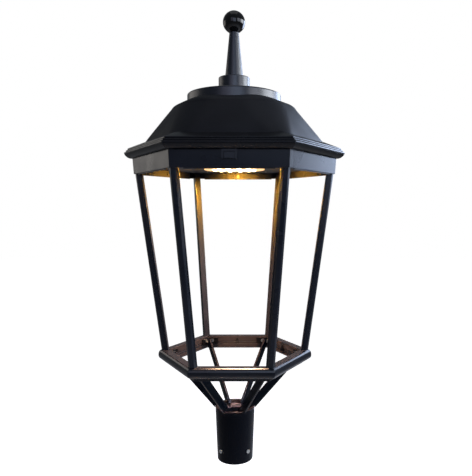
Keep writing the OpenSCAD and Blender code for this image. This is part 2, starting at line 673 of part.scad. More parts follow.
// Moving leaf: block that fits the rim's back, middle knuckle and stop heel
module hinge_leaf_moving() color(black) difference() {
  union() {
    along_x(-leaf_w / 2, leaf_w / 2) polygon(concat(
      [for (i = [1:6]) let (p = rim_section[i])
        [p[0] * flat + (i > 1 ? 0.02 : 0), p[1] - (i < 3 ? 0.02 : 0)]],
      [[rim_r * flat + 0.02, rim_tip_z + 3], [leaf_y, rim_tip_z + 3], [leaf_y, hinge_z + 9],
        [hinge_y + knuckle_r - 1, hinge_z + 3], [hinge_y, hinge_z], [hinge_y - knuckle_r + 1, hinge_z + 3]]
    ));
    rod_x(knuckle_r, -leaf_w / 2, leaf_w / 2, hinge_y, hinge_z);
    translate([-leaf_w / 2, hinge_y, hinge_z - heel_t / 2]) cube([leaf_w, heel_l, heel_t]);
  }
  rod_x(pin_r + pin_gap, -hinge_w, hinge_w, hinge_y, hinge_z);
  for (x = [-1, 1]) translate([x * leaf_w * 0.3, rim_open_r * flat, leaf_screw_z]) rotate([-90, 0, 0])
    cylinder(r = m5_r + screw_gap, h = leaf_y - rim_open_r * flat + 2 * knuckle_r);
}

// Two screws that hold the moving leaf to the rim
module leaf_screws() color(steel) for (x = [-1, 1])
  translate([x * leaf_w * 0.3, leaf_y, leaf_screw_z]) rotate([-90, 0, 0])
  screw(m5_r, 20, m5_head_r, m5_head_h);

// Fork let into the rim's underside
module hood_catch() color(black) difference() {
  translate([-fork_w / 2, -catch_y - fork_t, band_top_z - fork_h]) cube([fork_w, fork_t, fork_h + 10]);
  translate([-fork_w / 2 + fork_leg_w, -catch_y - fork_t - lap, band_top_z - fork_h - lap])
    cube([fork_w - 2 * fork_leg_w, fork_t + 2 * lap, fork_h - 3]);
  for (x = [-1, 1]) translate([x * fork_w * 0.25, -catch_y - fork_t - lap, band_top_z + 6])
    rotate([-90, 0, 0]) cylinder(r = 1.5 + screw_gap, h = fork_t + 2 * lap);
}

// Two pins that hold the fork in the rim
module catch_pins() color(steel) for (x = [-1, 1])
  translate([x * fork_w * 0.25, -catch_y - fork_t - 2.5, band_top_z + 6]) rotate([-90, 0, 0])
  cylinder(r = 1.5, h = catch_y + fork_t + 2.5 - rim_open_r * flat);

// Half width across the flats that a point lies on
function hex_half(p) = max([for (k = [0:5]) p[0] * cos(60 * k + 30) + p[1] * sin(60 * k + 30)]);

// Level of the hood: rounded hexagon of half width a and corner radius r at height z
function level(a, r, z, rise = 0) = [for (k = [0:5]) for (i = [0:arc_n])
  let (t = 60 * k - 30 + 60 * i / arc_n, c = (a - r) / flat)
  [c * cos(60 * k) + r * cos(t), c * sin(60 * k) + r * sin(t), z + rise * (1 - abs(2 * i / arc_n - 1))]];

// The same level laid on the rim's sloping top
function on_slope(a, r) = [for (p = level(a, r, 0))
  [p[0], p[1], slope_z + (slope_r - hex_half(p) / flat) * rim_slope]];

// Half width of the flank at height z
function flank(z) = hood_foot_flat - 1.9 - (z - seat_z - 5) * hood_lean;

// Point at t on the shoulder's curve from the flank's top to the crown
function shoulder(t) = let (s = hood_shoulder_h * 2 / 3)
  pow(1 - t, 2) * [flank(shoulder_z), shoulder_z]
  + 2 * t * (1 - t) * [flank(shoulder_z) - s * hood_lean, shoulder_z + s]
  + t * t * [hood_crown_flat, crown_z];

// Closed surface through a list of levels, the last joined to the first
module loft(levels) {
  n = len(levels[0]);
  m = len(levels);
  polyhedron(points = [for (l = levels) each l], faces = [for (j = [0:m - 1]) for (i = [0:n - 1])
    let (k = ((j + 1) % m) * n, a = j * n + i, b = j * n + (i + 1) % n, c = k + (i + 1) % n, d = k + i)
    each [[a, c, b], [a, d, c]]], convexity = 6);
}

// Hood: one hollow casting from its foot on the rim to the cap's seat
module hood_shell() color(black) difference() {
  loft(concat(
    [level(rim_ledge_flat + 0.6, hood_round - 6, seat_z), level(hood_foot_flat, hood_foot_round, seat_z),
      on_slope(hood_foot_flat, hood_foot_round), level(flank(seat_z + 11), hood_round, seat_z + 11)],
    [for (i = [0:8]) let (p = shoulder(i / 8)) level(p[0], hood_round - 34 * pow(i / 8, 3), p[1])],
    [level(cap_r + 1.4, 60, crown_z, hood_crown_rise * 0.7),
      level(cap_r + 0.3, cap_r - 0.4, crown_z, hood_crown_rise),
      level(cap_r + 0.3, cap_r - 0.4, cap_z), level(rod_r + screw_gap, rod_r, cap_z),
      level(rod_r + screw_gap, rod_r, hood_in_z), level(hood_crown_flat, 30, hood_in_z),
      level(flank(shoulder_z) - hood_wall, hood_round - 6, shoulder_z - 1),
      level(flank(seat_z + 12) - hood_wall, hood_round - 6, seat_z + 12),
      level(rim_ledge_flat + 0.6, hood_round - 6, seat_z + 8)]
  ));
  for (k = [1:6]) side(k) translate([shell_screw_flat, 0, seat_z - lap])
    cylinder(r = m5_r + screw_gap, h = 9);
}

// Six screws up through the rim's ledge into the hood's foot
module hood_screws() color(steel) for (k = [1:6]) side(k)
  translate([shell_screw_flat, 0, seat_z - rim_ledge_t + lap]) rotate([180, 0, 0])
  screw(m5_r, rim_ledge_t - lap + 6, m5_head_r, m5_head_h);

// Hollow round cap plate
module cap_disc() color(black) rotate_extrude() polygon([
  [rod_r + screw_gap, cap_z], [14, cap_z], [14, cap_top - 5], [cap_r - 5, cap_top - 5], [cap_r - 5, cap_z],
  [cap_r, cap_z], [cap_r, cap_top - 3], [cap_r - 0.5, cap_top - 1.5], [cap_r - 1.5, cap_top - 0.5],
  [cap_r - 3, cap_top], [rod_r + screw_gap, cap_top]
]);

// Finial's drum
module finial_drum() color(black) rotate_extrude() polygon([
  [rod_r + screw_gap, cap_top], [drum_r, cap_top], [drum_r, drum_top - 1.5], [drum_r - 1.5, drum_top],
  [rod_r + screw_gap, drum_top]
]);

// Tapering stem
module finial_stem() color(black) rotate_extrude() polygon([
  [rod_r + screw_gap, drum_top], [stem_foot_r, drum_top], [stem_top_r, stem_top],
  [rod_r + screw_gap, stem_top]
]);

// Ball, flat where it sits on the stem
module finial_ball() color(black) difference() {
  translate([0, 0, ball_z]) sphere(r = ball_r);
  translate([-ball_r, -ball_r, stem_top - 2 * ball_r]) cube(2 * ball_r);
  translate([0, 0, stem_top - lap]) cylinder(r = rod_r + screw_gap, h = ball_z - stem_top + lap);
}

// Tie rod from the nut up into the ball
module finial_rod() color(steel) translate([0, 0, hood_in_z - 16])
  cylinder(r = rod_r, h = ball_z - hood_in_z + 12);

// Washer under the hood's top
module finial_washer() color(steel) translate([0, 0, hood_in_z - 2.5]) difference() {
  cylinder(r = 12, h = 2.5);
  translate([0, 0, -lap]) cylinder(r = rod_r + screw_gap, h = 5);
}

// Nut on the tie rod
module finial_nut() color(steel) translate([0, 0, hood_in_z - 10.5]) difference() {
  cylinder(r = 9.2, h = 8, $fn = 6);
  translate([0, 0, -lap]) cylinder(r = rod_r + screw_gap, h = 10);
}

spigot_sleeve();
sleeve_set_screws();
arm_1();
arm_2();
arm_3();
arm_4();
arm_5();
arm_6();
lower_ring();
foot_bracket_1();
foot_bracket_2();
foot_bracket_3();
foot_bracket_4();
foot_bracket_5();
foot_bracket_6();
bracket_screws();
pane_clips();
post_1();
post_2();
post_3();
post_4();
post_5();
post_6();
post_foot_screws();
top_band();
gear_tray();
post_head_screws();
tray_screws();
led_board();
led_lens_plate();
heat_sink();
led_driver();
driver_screws();
terminal_block();
cable_gland();
hinge_leaf_fixed();
hinge_screws();
hinge_pin();
catch_keeper();
canopy_rim();
canopy_gasket();
hinge_leaf_moving();
leaf_screws();
hood_catch();
catch_pins();
hood_shell();
hood_screws();
cap_disc();
finial_drum();
finial_stem();
finial_ball();
finial_rod();
finial_washer();
finial_nut();
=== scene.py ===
import math

import bmesh
import bpy
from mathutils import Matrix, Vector


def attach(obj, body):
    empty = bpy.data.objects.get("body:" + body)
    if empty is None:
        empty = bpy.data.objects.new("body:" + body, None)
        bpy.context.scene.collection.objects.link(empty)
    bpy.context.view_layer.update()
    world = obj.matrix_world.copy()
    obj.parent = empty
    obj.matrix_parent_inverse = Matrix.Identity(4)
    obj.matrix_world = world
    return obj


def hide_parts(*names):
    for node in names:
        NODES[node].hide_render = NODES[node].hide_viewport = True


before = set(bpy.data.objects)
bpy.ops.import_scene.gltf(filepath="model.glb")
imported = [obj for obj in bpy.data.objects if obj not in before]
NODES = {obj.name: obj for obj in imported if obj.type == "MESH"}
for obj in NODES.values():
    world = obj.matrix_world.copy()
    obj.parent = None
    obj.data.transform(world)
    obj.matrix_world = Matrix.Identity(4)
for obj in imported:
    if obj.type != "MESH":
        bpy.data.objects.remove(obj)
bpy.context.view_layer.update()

# view and camera
scene = bpy.context.scene
scene.view_settings.view_transform = "Standard"
cam_data = bpy.data.cameras.new("camera")
cam = bpy.data.objects.new("camera", cam_data)
scene.collection.objects.link(cam)
scene.camera = cam
CAMERA_TILT = 3.185  # degrees below level
cam.location = (0.05807, -1.180, 0.55975)
cam.rotation_euler = (math.radians(90 - CAMERA_TILT), 0, 0)
cam_data.sensor_fit = "HORIZONTAL"
cam_data.sensor_width = 36
cam_data.lens = 40.88
cam_data.shift_x = -0.0528
cam_data.clip_start = 0.01
cam_data.clip_end = 50


# helpers for shader nodes
class NodeTree:
    """Short calls for the nodes of a material or of the world."""

    def __init__(self, tree):
        self.tree = tree

    def node(self, kind, **values):
        n = self.tree.nodes.new("ShaderNode" + kind)
        for key, value in values.items():
            setattr(n, key, value)
        return n

    def link(self, source, socket):
        self.tree.links.new(source, socket)

    def feed(self, socket, value):
        """Gives a socket a number or a colour, or links another node's output to it."""
        if isinstance(value, tuple):
            socket.default_value = (*value, 1)
        elif isinstance(value, (int, float)):
            socket.default_value = value
        else:
            self.link(value, socket)

    def math(self, operation, a, b):
        n = self.node("Math", operation=operation)
        self.feed(n.inputs[0], a)
        self.feed(n.inputs[1], b)
        return n.outputs[0]

    def mix(self, factor, a, b):
        """Colour a where factor is 0 and colour b where it is 1."""
        n = self.node("Mix", data_type="RGBA")
        for index, value in ((0, factor), (6, a), (7, b)):  # the sockets that a mix of colours uses
            self.feed(n.inputs[index], value)
        return n.outputs[2]


class Mat(NodeTree):
    """A procedural material in the piece's own coordinates."""

    def __init__(self, name):
        self.material = bpy.data.materials.new(name)
        self.material.use_nodes = True
        super().__init__(self.material.node_tree)
        self.bsdf = self.tree.nodes["Principled BSDF"]
        self.coord = self.node("TexCoord").outputs["Object"]

    def scaled(self, xyz):
        n = self.node("Mapping")
        n.inputs["Scale"].default_value = xyz
        self.link(self.coord, n.inputs["Vector"])
        return n.outputs["Vector"]

    def noise(self, scale, detail=3.0, rough=0.55, vector=None):
        n = self.node("TexNoise")
        n.inputs["Scale"].default_value = scale
        n.inputs["Detail"].default_value = detail
        n.inputs["Roughness"].default_value = rough
        self.link(vector or self.coord, n.inputs["Vector"])
        return n.outputs["Fac"]

    def span(self, value, low, high, from_low=0.0, from_high=1.0):
        """Maps a value that runs between from_low and from_high to low and high."""
        n = self.node("MapRange")
        n.inputs["From Min"].default_value = from_low
        n.inputs["From Max"].default_value = from_high
        n.inputs["To Min"].default_value = low
        n.inputs["To Max"].default_value = high
        self.link(value, n.inputs["Value"])
        return n.outputs["Result"]

    def bump(self, height, strength, distance):
        n = self.node("Bump")
        n.inputs["Strength"].default_value = strength
        n.inputs["Distance"].default_value = distance
        self.link(height, n.inputs["Height"])
        return n.outputs["Normal"]

    def put(self, name, value):
        self.feed(self.bsdf.inputs[name], value)


# materials
NOISE_RANGE = (0.3, 0.7)  # where most of a noise's values lie
# brown of the film: partly a dusty deposit, partly the LEDs' painted warm glow and painted light on upward
# faces
DUST_AND_GLOW = (0.036, 0.027, 0.025)


def dimmed(colour, share):
    return tuple(c * share for c in colour)


def powder_coat(name, base, rough, grain=900.0, spec=0.13, dust_and_glow=0.0):
    """Satin black powder coat: fine orange peel and faint clouding.

    Its last argument sets how strongly a thin brown film covers the faces that look up or towards the
    lantern's axis. The film is partly a dusty deposit and partly painted light: the LEDs' warm glow painted
    on the faces towards the axis, and painted brightening on the upward faces.
    """
    m = Mat(name)
    peel = m.noise(grain, 4.0, 0.6)
    cloud = m.noise(14.0, 2.0, 0.5)
    pale = tuple(c * 1.4 + 0.0015 for c in base)
    colour = m.mix(m.span(cloud, 0.0, 0.8, 0.25, 0.8), base, pale)
    # painted light: the film paints the LEDs' warm glow on faces turned to the axis and light on upward
    # faces, besides a dusty deposit
    if dust_and_glow:
        normal = m.node("NewGeometry").outputs["Normal"]
        inward = m.node("VectorMath", operation="DOT_PRODUCT")
        m.link(m.scaled((-1, -1, 0)), inward.inputs[0])
        m.link(normal, inward.inputs[1])
        upward = m.node("VectorMath", operation="DOT_PRODUCT")
        upward.inputs[0].default_value = (0, 0, 1)
        m.link(normal, upward.inputs[1])
        on_walls = m.span(inward.outputs["Value"], 0.0, 1.0, 0.02, 0.05)
        on_tops = m.span(upward.outputs["Value"], 0.0, 0.22, 0.8, 0.95)
        film = m.math("MAXIMUM", on_walls, on_tops)
        film = m.math("MULTIPLY", film, m.span(cloud, dust_and_glow * 0.65, dust_and_glow, *NOISE_RANGE))
        colour = m.mix(film, colour, DUST_AND_GLOW)
    m.put("Base Color", colour)
    m.put("Roughness", m.span(cloud, rough - 0.04, rough + 0.06, *NOISE_RANGE))
    m.put("Normal", m.bump(peel, 0.06, 0.0004))
    m.put("Specular IOR Level", spec)
    return m.material


def metal(name, base, rough, streak=(1, 1, 1), scale=400.0):
    """Bare metal, brushed where streak squeezes its grain along one axis."""
    m = Mat(name)
    grain = m.noise(scale, 3.0, 0.6, m.scaled(streak))
    m.put("Base Color", m.mix(m.span(grain, 0.0, 0.5, *NOISE_RANGE), base, dimmed(base, 0.72)))
    m.put("Metallic", 1.0)
    m.put("Roughness", m.span(grain, rough - 0.06, rough + 0.1, *NOISE_RANGE))
    m.put("Normal", m.bump(grain, 0.1, 0.0002))
    return m.material


def plastic(name, base, rough):
    m = Mat(name)
    grain = m.noise(700.0)
    m.put("Base Color", m.mix(m.span(grain, 0.0, 0.3), base, dimmed(base, 0.85)))
    m.put("Roughness", rough)
    m.put("Normal", m.bump(grain, 0.08, 0.0002))
    return m.material


def glowing(name, base, colour, strength, rough):
    """Plastic with light coming through it."""
    m = Mat(name)
    m.put("Base Color", m.mix(m.span(m.noise(500.0, 2.0), 0.0, 0.2), base, dimmed(base, 0.9)))
    m.put("Roughness", rough)
    m.put("Emission Color", colour)
    m.put("Emission Strength", strength)
    return m.material


# painted light and shade: these are copies of one black powder coat whose base colours differ by part to
# paint the light each part takes, lighter on the hood, posts, cap and tray, darker on the rim, arms, sleeve
# and brackets; their roughness and shine differ too, and the last number sets the brown film of painted glow
# and dusty deposit
COAT = powder_coat("coat_body", (0.0036, 0.0049, 0.0086), 0.28, spec=0.16)
COAT_POST = powder_coat("coat_post", (0.0046, 0.0065, 0.0115), 0.28, spec=0.21, dust_and_glow=0.2)
COAT_ARM = powder_coat("coat_foot", (0.0018, 0.0032, 0.0064), 0.24, spec=0.04, dust_and_glow=0.3)
COAT_BRACKET = powder_coat("coat_bracket", (0.0024, 0.0024, 0.0030), 0.34, spec=0.08)
COAT_SLEEVE = powder_coat("coat_sleeve", (0.0012, 0.0020, 0.0046), 0.24, spec=0.06, dust_and_glow=0.8)
COAT_RING = powder_coat("coat_ring", (0.0040, 0.0054, 0.0094), 0.22, spec=0.27, dust_and_glow=0.9)
COAT_HOOD = powder_coat("coat_hood", (0.0094, 0.0098, 0.0118), 0.46, spec=0.07)
COAT_RIM = powder_coat("coat_rim", (0.0020, 0.0024, 0.0040), 0.22)
COAT_CAP = powder_coat("coat_cap", (0.0046, 0.0066, 0.0126), 0.31, spec=0.50)
COAT_TRAY = powder_coat("coat_tray", (0.020, 0.020, 0.021), 0.40)
GLOSS = powder_coat("coat_ball", (0.003, 0.003, 0.0036), 0.08, 500.0, 0.28)
STEEL = metal("screw_steel", (0.62, 0.62, 0.61), 0.28)
DULL_STEEL = metal("screw_dull", (0.10, 0.095, 0.09), 0.45)
ALLOY = metal("tray_alloy", (0.72, 0.70, 0.66), 0.42, (1, 14, 1), 120.0)
PLASTIC = plastic("gear_plastic", (0.75, 0.75, 0.71), 0.5)
RUBBER = plastic("seal_rubber", (0.02, 0.02, 0.02), 0.8)
LENS = glowing("lens_clear", (0.85, 0.82, 0.72), (1.0, 0.50, 0.12), 1.1, 0.25)
CHIP = glowing("lens_dome", (0.95, 0.93, 0.85), (1.0, 0.74, 0.34), 9.0, 0.15)


def dress(names, material):
    for name in names:
        mesh = NODES[name].data
        mesh.materials.clear()
        mesh.materials.append(material)


dress(NODES, COAT)
dress([name for name in NODES if name.endswith(("screws", "pins"))], STEEL)
dress(["hinge_pin", "finial_rod", "finial_washer", "finial_nut"], STEEL)
dress(["tray_screws", "post_head_screws"], DULL_STEEL)
dress(["gear_tray"], COAT_TRAY)
dress(["heat_sink"], ALLOY)
dress(["led_driver", "terminal_block", "cable_gland", "led_board"], PLASTIC)
dress(["canopy_gasket"], RUBBER)

# shared sizes in millimetres of the CAD frame
# a half is half the width across the flats, an R is a radius or a corner's distance from the axis
MM = 0.001
FLAT = math.cos(math.radians(30))
RING_HALF = 126.0  # inner wall of the lower ring
NOSE_HALF = 148.0
SKIRT_HALF = 140.4
RING_TOP = 245.2
RING_FOOT = 215.2
BAND_TOP_R = 223.2
BAND_FOOT_R = 220.6
BAND_FOOT = 634.3
BAND_TOP = 668.0
BAND_WALL = 2.6
BAND_INSIDE_HALF = BAND_FOOT_R * FLAT - BAND_WALL
TRAY_Z = 648.0  # underside of the tray
SEAT_Z = 697.0  # ledge of the rim that carries the hood
RIM_R = 241.5
RIM_HALF = RIM_R * FLAT
HOOD_FOOT_HALF = RIM_HALF - 33.1
LEDGE_HALF = HOOD_FOOT_HALF - 16
CAP_R = 101.2
CAP_Z = 783.4
CAP_TOP = 804.0
ROD_HOLE = 5.3
ARC = 10  # steps of each rounded corner seen from above


# helpers for shapes
FLATTEST = math.radians(86)  # half angles beyond these leave a corner as it is
SHARPEST = math.radians(4)
EDGE_SHARE = 0.45  # how much of an edge a fillet may take at one end
BEVEL_ANGLE = 28  # degrees from which an edge gets its bevel


def filleted(points, radius, steps=4):
    """Closed outline with rounded corners. A point's third number is its own radius."""
    outline = []
    for i, p in enumerate(points):
        own = p[2] if len(p) > 2 else radius
        before = points[i - 1]
        after = points[(i + 1) % len(points)]
        a = Vector((before[0] - p[0], before[1] - p[1]))
        b = Vector((after[0] - p[0], after[1] - p[1]))
        a_long = a.length
        b_long = b.length
        if own <= 0 or min(a_long, b_long) < 1e-6:
            outline.append(p[:2])
            continue
        a /= a_long
        b /= b_long
        half = math.acos(max(-1.0, min(1.0, a.dot(b)))) / 2
        if half > FLATTEST or half < SHARPEST:
            outline.append(p[:2])
            continue
        reach = min(own / math.tan(half), a_long * EDGE_SHARE, b_long * EDGE_SHARE)
        corner = Vector(p[:2])
        start = corner + a * reach
        end = corner + b * reach
        for k in range(steps + 1):
            t = k / steps
            m = start * (1 - t) ** 2 + corner * 2 * t * (1 - t) + end * t * t
            outline.append((m.x, m.y))
    return outline


def level(half, r, z, rise=0.0):
    """Hexagon at height z with corners of radius r, which swell up by rise at their middles."""
    centre = (half - r) / FLAT
    points = []
    for k in range(6):
        side = math.radians(60 * k)
        for i in range(ARC + 1):
            t = math.radians(60 * k - 30 + 60 * i / ARC)
            up = rise * (1 + math.cos(math.pi * (2 * i / ARC - 1))) / 2
            points.append((centre * math.cos(side) + r * math.cos(t),
                           centre * math.sin(side) + r * math.sin(t), z + up))
    return points


def circle(r, z, count, x=0.0, y=0.0):
    angles = [2 * math.pi * i / count for i in range(count)]
    return [(x + r * math.cos(t), y + r * math.sin(t), z) for t in angles]


def loft(rings, close=True):
    """Skin through rings of as many points each, closed from the last to the first or with two lids."""
    bm = bmesh.new()
    rows = [[bm.verts.new((x * MM, y * MM, z * MM)) for x, y, z in ring] for ring in rings]
    n = len(rows[0])
    following = rows[1:] + rows[:1] if close else rows[1:]
    for row, above in zip(rows, following):
        for i in range(n):
            k = (i + 1) % n
            bm.faces.new((row[i], row[k], above[k], above[i]))
    if not close:
        bm.faces.new(rows[0])
        bm.faces.new(list(reversed(rows[-1])))
    return bm


def hex_casting(section, radius, corner, steps=3):
    """A closed section of (half width, height) points carried round the six sides."""
    return loft([level(half, corner, z) for half, z in filleted(section, radius, steps)])


def turned(profile, radius, count):
    """A closed profile of (radius, height) points turned round the axis."""
    return loft([circle(r, z, count) for r, z in filleted(profile, radius)])


def join(parts):
    """One bmesh of several."""
    bm = bmesh.new()
    for part in parts:
        me = bpy.data.meshes.new("part")
        part.to_mesh(me)
        part.free()
        bm.from_mesh(me)
        bpy.data.meshes.remove(me)
    return bm


def new_piece(name, bm, material, body, stands_for=(), sharp=38.0, weighted=True,
              bevel=0.0):
    """Finishes a bmesh as a piece: smooth faces, sharp edges by angle, material and body, and hides the CAD
    parts it stands for.
    """
    bmesh.ops.remove_doubles(bm, verts=bm.verts, dist=1e-7)
    bmesh.ops.recalc_face_normals(bm, faces=bm.faces)
    for face in bm.faces:
        face.smooth = True
    for edge in bm.edges:
        edge.smooth = len(edge.link_faces) == 2 and edge.calc_face_angle(0.0) < math.radians(sharp)
    me = bpy.data.meshes.new(name)
    bm.to_mesh(me)
    bm.free()
    o = bpy.data.objects.new(name, me)
    scene.collection.objects.link(o)
    me.materials.append(material)
    if bevel:
        soft_edges = o.modifiers.new("soft_edges", "BEVEL")
        soft_edges.width = bevel * MM
        soft_edges.segments = 2
        soft_edges.limit_method = "ANGLE"
        soft_edges.angle_limit = math.radians(BEVEL_ANGLE)
    if weighted:
        flat_faces = o.modifiers.new("flat_faces", "WEIGHTED_NORMAL")
        flat_faces.keep_sharp = True
        flat_faces.weight = 80
    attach(o, body)
    if stands_for:
        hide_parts(*stands_for)


# lower ring: rounded nose, skirt, hollow channel below and two grooves inside
# NOSE holds how far each point lies inside the nose and below the ring's top
NOSE = ((5.8, 0), (3.6, 1), (1.6, 3.5), (0.4, 7), (0, 10.5), (0.1, 14), (0.9, 17), (2.6, 19.2), (5.2, 20.4))
CHANNEL_TOP = RING_TOP - 6.4
SKIRT_FOOT = RING_FOOT + 7
SKIRT_WALL = 3.2
INNER_LEG = 4.6  # between the channel and the inner wall
ring_section = [(RING_HALF, RING_TOP, 0.7)]
ring_section += [(NOSE_HALF - back, RING_TOP - down) for back, down in NOSE]
ring_section += [
    (SKIRT_HALF, RING_TOP - 20.9, 0.5),
    (SKIRT_HALF, SKIRT_FOOT, 0.7),
    (SKIRT_HALF - SKIRT_WALL, SKIRT_FOOT, 0.7),
    (SKIRT_HALF - SKIRT_WALL, CHANNEL_TOP, 1.5),
    (RING_HALF + INNER_LEG, CHANNEL_TOP, 1.5),
    (RING_HALF + INNER_LEG, RING_FOOT, 0.6),
    (RING_HALF + 2.8, RING_FOOT, 0.5),
    (RING_HALF + 1, RING_FOOT + 2.4),
]
# INNER_WALL holds how far each point lies outside the inner wall and below the ring's top
INNER_WALL = ((1, 19.8), (2.2, 19.2), (2.2, 18), (0.5, 17.4), (0.5, 14.6), (1.8, 14.1), (1.8, 13), (0, 12.5))
ring_section += [(RING_HALF + back, RING_TOP - down) for back, down in INNER_WALL]
new_piece("ring_casting", hex_casting(ring_section, 0.35, 2.0, 2), COAT_RING, "frame", ["lower_ring"],
          sharp=46)

# band with its draft and its inward lip
band_foot = BAND_FOOT_R * FLAT
band_top = BAND_TOP_R * FLAT
LIP = 12
band_section = [
    (BAND_INSIDE_HALF, BAND_FOOT),
    (band_foot, BAND_FOOT),
    (band_top, BAND_TOP),
    (band_top - LIP, BAND_TOP),
    (band_top - LIP, BAND_TOP - BAND_WALL),
    (BAND_INSIDE_HALF, BAND_TOP - BAND_WALL),
]
new_piece("band_casting", hex_casting(band_section, 0.7, 1.6), COAT, "frame", ["top_band"])

# posts: ridge outside, grooves along the sides, cut level at the ring and the tray
POST_FOOT_R = NOSE_HALF / FLAT - 7.4
POST_HEAD_R = BAND_FOOT_R - 3.4
POST_HALF = 7.0
POST_DEEP = 16.0
GROOVE_END = 13.4
GROOVE_WIDE = 1.6
GROOVE_DEEP = 1.2
ridge = POST_HALF * math.tan(math.radians(30))
half_post = [
    (0, 0, 1.2),
    (-ridge, POST_HALF, 0.9),
    (-GROOVE_END + GROOVE_WIDE, POST_HALF, 0.3),
    (-GROOVE_END + GROOVE_WIDE, POST_HALF - GROOVE_DEEP, 0.0),
    (-GROOVE_END, POST_HALF - GROOVE_DEEP, 0.0),
    (-GROOVE_END, POST_HALF, 0.3),
    (-POST_DEEP, POST_HALF, 0.8),
]
other_half = [(x, -y, r) for x, y, r in reversed(half_post[1:])]
post_outline = filleted(half_post + other_half, 0.4, 2)
lean = math.atan((POST_HEAD_R - POST_FOOT_R) / (BAND_FOOT - RING_TOP))
for k in range(6):
    a = math.radians(60 * k)
    rings = []
    for z in (RING_TOP, 300.0, 380.0, 460.0, 540.0, 600.0, TRAY_Z):
        ridge_r = POST_FOOT_R + (z - RING_TOP) * math.tan(lean)
        ring = []
        for x, y in post_outline:
            r = ridge_r + x / math.cos(lean)
            ring.append((r * math.cos(a) - y * math.sin(a), r * math.sin(a) + y * math.cos(a), z))
        rings.append(ring)
    new_piece("post_bar_%d" % (k + 1), loft(rings, close=False), COAT_POST, "frame", ["post_%d" % (k + 1)])

# sleeve: socket below, stop with the cable's hole, shallow recess on top
SLEEVE_FOOT_R = 39.4
SLEEVE_TOP_R = 43.8
SLEEVE_TOP = 118
SOCKET_R = 31
SOCKET_TOP = 98
RECESS_R = 37.8
RECESS_FOOT = 108
CABLE_R = 18
sleeve_profile = [
    (SOCKET_R, 0, 0.4),
    (SLEEVE_FOOT_R, 0, 1.2),
    (SLEEVE_TOP_R, SLEEVE_TOP, 1.2),
    (RECESS_R, SLEEVE_TOP, 0.8),
    (RECESS_R, RECESS_FOOT, 1.5),
    (CABLE_R, RECESS_FOOT, 0.8),
    (CABLE_R, SOCKET_TOP),
    (SOCKET_R, SOCKET_TOP),
]
new_piece("sleeve_casting", turned(sleeve_profile, 0.5, 128), COAT_SLEEVE, "frame", ["spigot_sleeve"])

# canopy rim: beads, sloping top, rebate for the hood, gasket groove below
TIP_Z = BAND_TOP + 11.5
BEAD_R = 2.1
BEAD_IN = 4
BEAD_UP = 4.3
BEAD_STEP = 12  # degrees
RIM_SLOPE = 0.3625


def bead_point(i, degrees):
    """Point of bead i, counted from the tip: its distance from the axis at a corner, and its height."""
    a = math.radians(degrees)
    return (RIM_R - BEAD_R - i * BEAD_IN + BEAD_R * math.cos(a),
            TIP_Z + 0.3 + i * BEAD_UP + BEAD_R * math.sin(a))


SLOPE_R, SLOPE_Z = bead_point(2, 80)  # where the sloping top starts
SIDES = [math.radians(60 * k + 30) for k in range(6)]


def on_slope(half, r, up=0.0):
    """A level laid on the rim's sloping top."""
    points = []
    for x, y, _ in level(half, r, 0):
        own_half = max(x * math.cos(side) + y * math.sin(side) for side in SIDES)
        points.append((x, y, SLOPE_Z + (SLOPE_R - own_half / FLAT) * RIM_SLOPE + up))
    return points


opening = (BAND_TOP_R - 18.2) * FLAT
gasket_in = BAND_INSIDE_HALF - 6
GASKET_WIDE = 4
GASKET_DEEP = 2.5
under_edge = (BAND_TOP_R + 5.8) * FLAT
rim_section = [
    (opening, BAND_TOP),
    (gasket_in, BAND_TOP),
    (gasket_in, BAND_TOP + GASKET_DEEP),
    (gasket_in + GASKET_WIDE, BAND_TOP + GASKET_DEEP),
    (gasket_in + GASKET_WIDE, BAND_TOP),
    (under_edge, BAND_TOP, 0.6),
    (under_edge + 3 * FLAT, BAND_TOP + 1, 4),
    (RIM_HALF - 6 * FLAT, BAND_TOP + 3.2, 6),
    (RIM_HALF - 3 * FLAT, BAND_TOP + 6, 6),
    (RIM_HALF - FLAT, BAND_TOP + 8.8, 6),
    (RIM_HALF, TIP_Z, 1),
]
for i, first, last in ((0, 10, 90), (1, -56, 90), (2, -56, 62)):
    bead = [bead_point(i, degrees) for degrees in range(first, last, BEAD_STEP)]
    rim_section += [(r * FLAT, z) for r, z in bead]
rim_section.append((SLOPE_R * FLAT, SLOPE_Z))
REBATE_HALF = HOOD_FOOT_HALF + 0.3
REBATE_ROUND = 68.3
rings = [level(half, 1.0, z) for half, z in filleted(rim_section, 0.0, 3)]
rings += [
    on_slope(REBATE_HALF + 0.5, REBATE_ROUND + 0.5),
    on_slope(REBATE_HALF, REBATE_ROUND, -0.4),
    level(REBATE_HALF, REBATE_ROUND, SEAT_Z),
    level(LEDGE_HALF, 1.0, SEAT_Z),
    level(LEDGE_HALF, 1.0, SEAT_Z - 7),
    level(opening, 1.0, BAND_TOP + 14),
]
new_piece("rim_casting", loft(rings), COAT_RIM, "hood", ["canopy_rim"], sharp=50)

# hood: its flanks grow rounder upwards and end in a full circle under the cap
HOOD_WALL = 6
FOOT_ROUND = 68
INNER_ROUND = 44
PLAIN_ROUND = 50
SHOULDER_ROUND = 108
SHOULDER_STEPS = 14
SHOULDER_IN = 5.7
SHOULDER_UP = 11
FLANK_LEAN = 0.75
FLANK_STEP = 1.9  # how far the flank starts inside the foot
FLANK_START = 5  # height above the seat
FLANK_TOP = SEAT_Z + 71
# FLANK_ROUND holds heights above the seat with the radius of the corners there
FLANK_ROUND = ((11, 65), (20, 74), (30, 83), (40, 91), (50, 98), (60, 104))
CROWN_Z = CAP_Z + 0.4
CROWN_HALF = CAP_R + 0.3
CROWN_ROUND = CAP_R - 0.4
CROWN_RISE = 3.5
CROWN_INSIDE_HALF = 103.6


def flank(z):
    """Half width of the plain flank at height z."""
    return HOOD_FOOT_HALF - FLANK_STEP - (z - SEAT_Z - FLANK_START) * FLANK_LEAN


